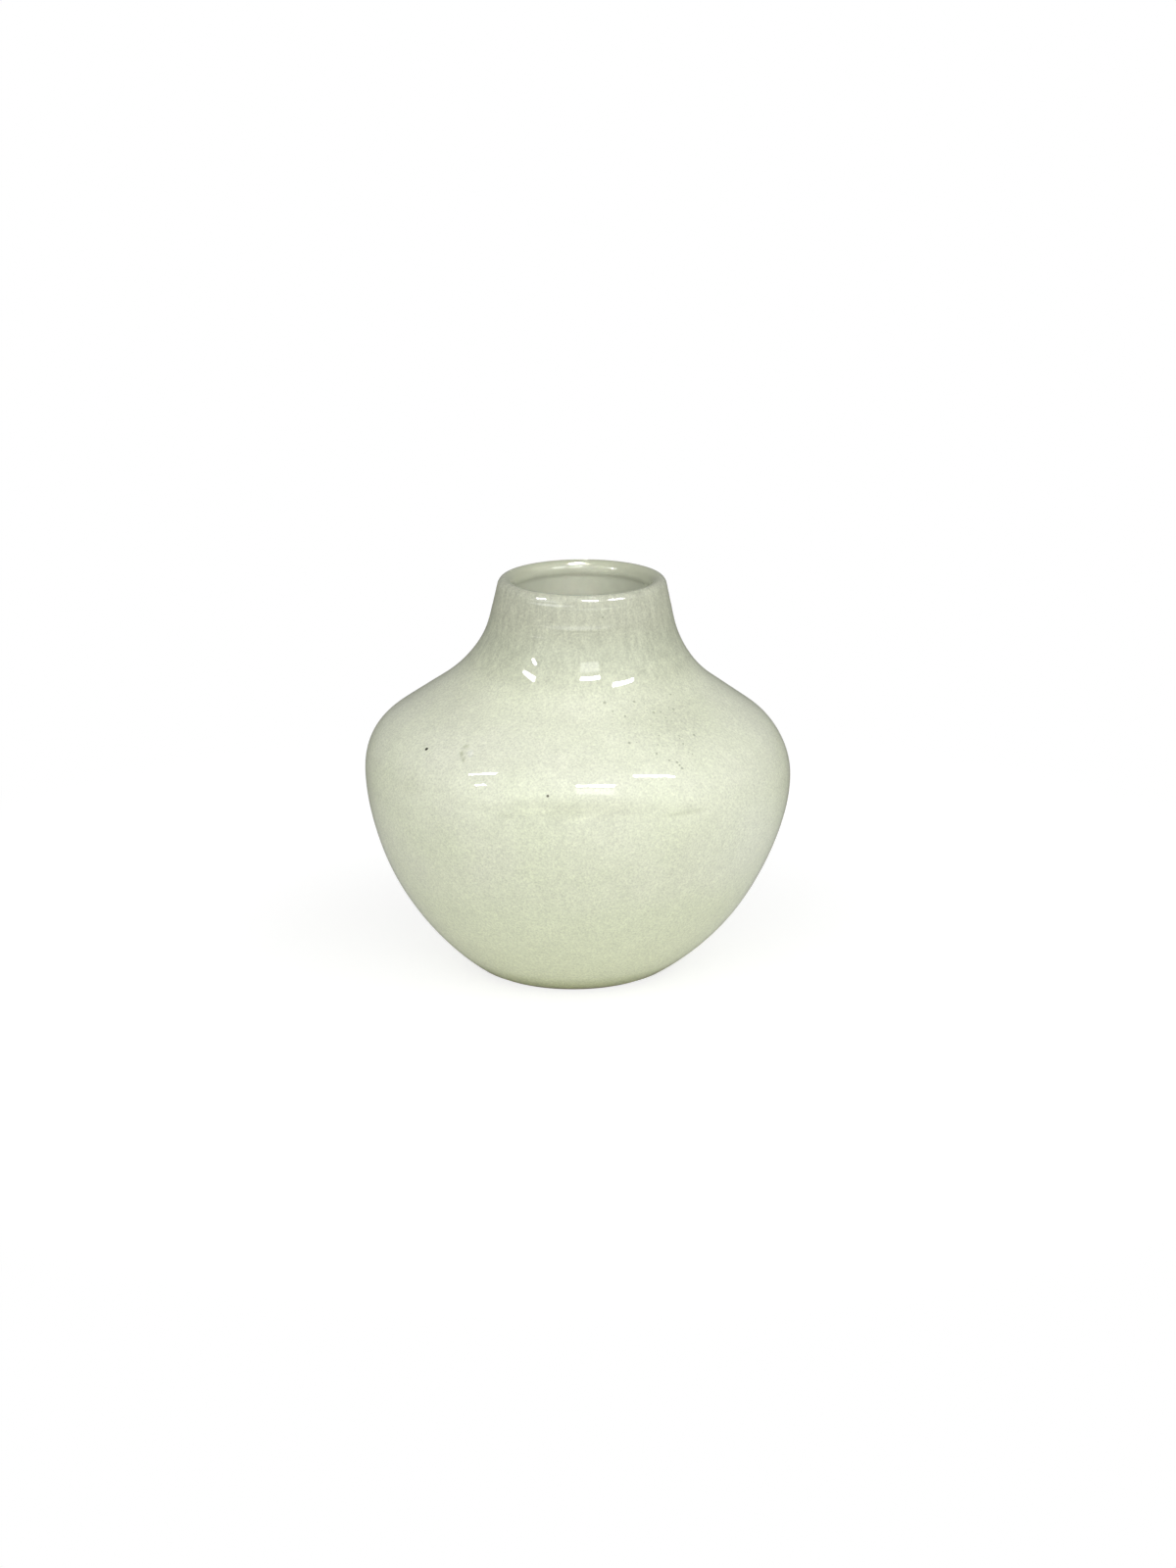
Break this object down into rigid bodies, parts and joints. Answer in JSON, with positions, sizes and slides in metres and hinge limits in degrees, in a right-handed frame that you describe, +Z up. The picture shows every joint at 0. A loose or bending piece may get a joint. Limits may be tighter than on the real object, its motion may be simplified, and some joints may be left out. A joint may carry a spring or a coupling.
{
  "type": "glazed porcelain jar",
  "caption": "High-shouldered, narrow-necked porcelain jar with a rolled lip, pale celadon glaze and a low foot ring, for display or for holding flowers or dry goods.",
  "frame": {"origin": "centre of the foot ring's standing edge, on the table", "axes": "+Z up along the wheel's axis, -Y towards the side that the picture shows"},
  "size_m": [0.2, 0.2, 0.1874],
  "materials": {
    "bare_porcelain": "matte, fired bare",
    "porcelain_body": "matte, under glaze",
    "porcelain_slip": "matte, inside the joint",
    "celadon_glaze": "high gloss, clear pale green glaze",
    "liner_glaze": "high gloss, poured coat inside",
    "well_glaze": "gloss, thin coat under the floor"
  },
  "bodies": {
    "root": {"foot_ring": "bare_porcelain", "foot_luting_slip": "porcelain_slip", "lower_bowl": "porcelain_body", "belly_luting_slip": "porcelain_slip", "upper_bowl": "porcelain_body", "neck_luting_slip": "porcelain_slip", "neck_collar": "porcelain_body", "outer_glaze": "celadon_glaze", "liner_glaze": "liner_glaze", "foot_well_glaze": "well_glaze"}
  },
  "joints": []
}
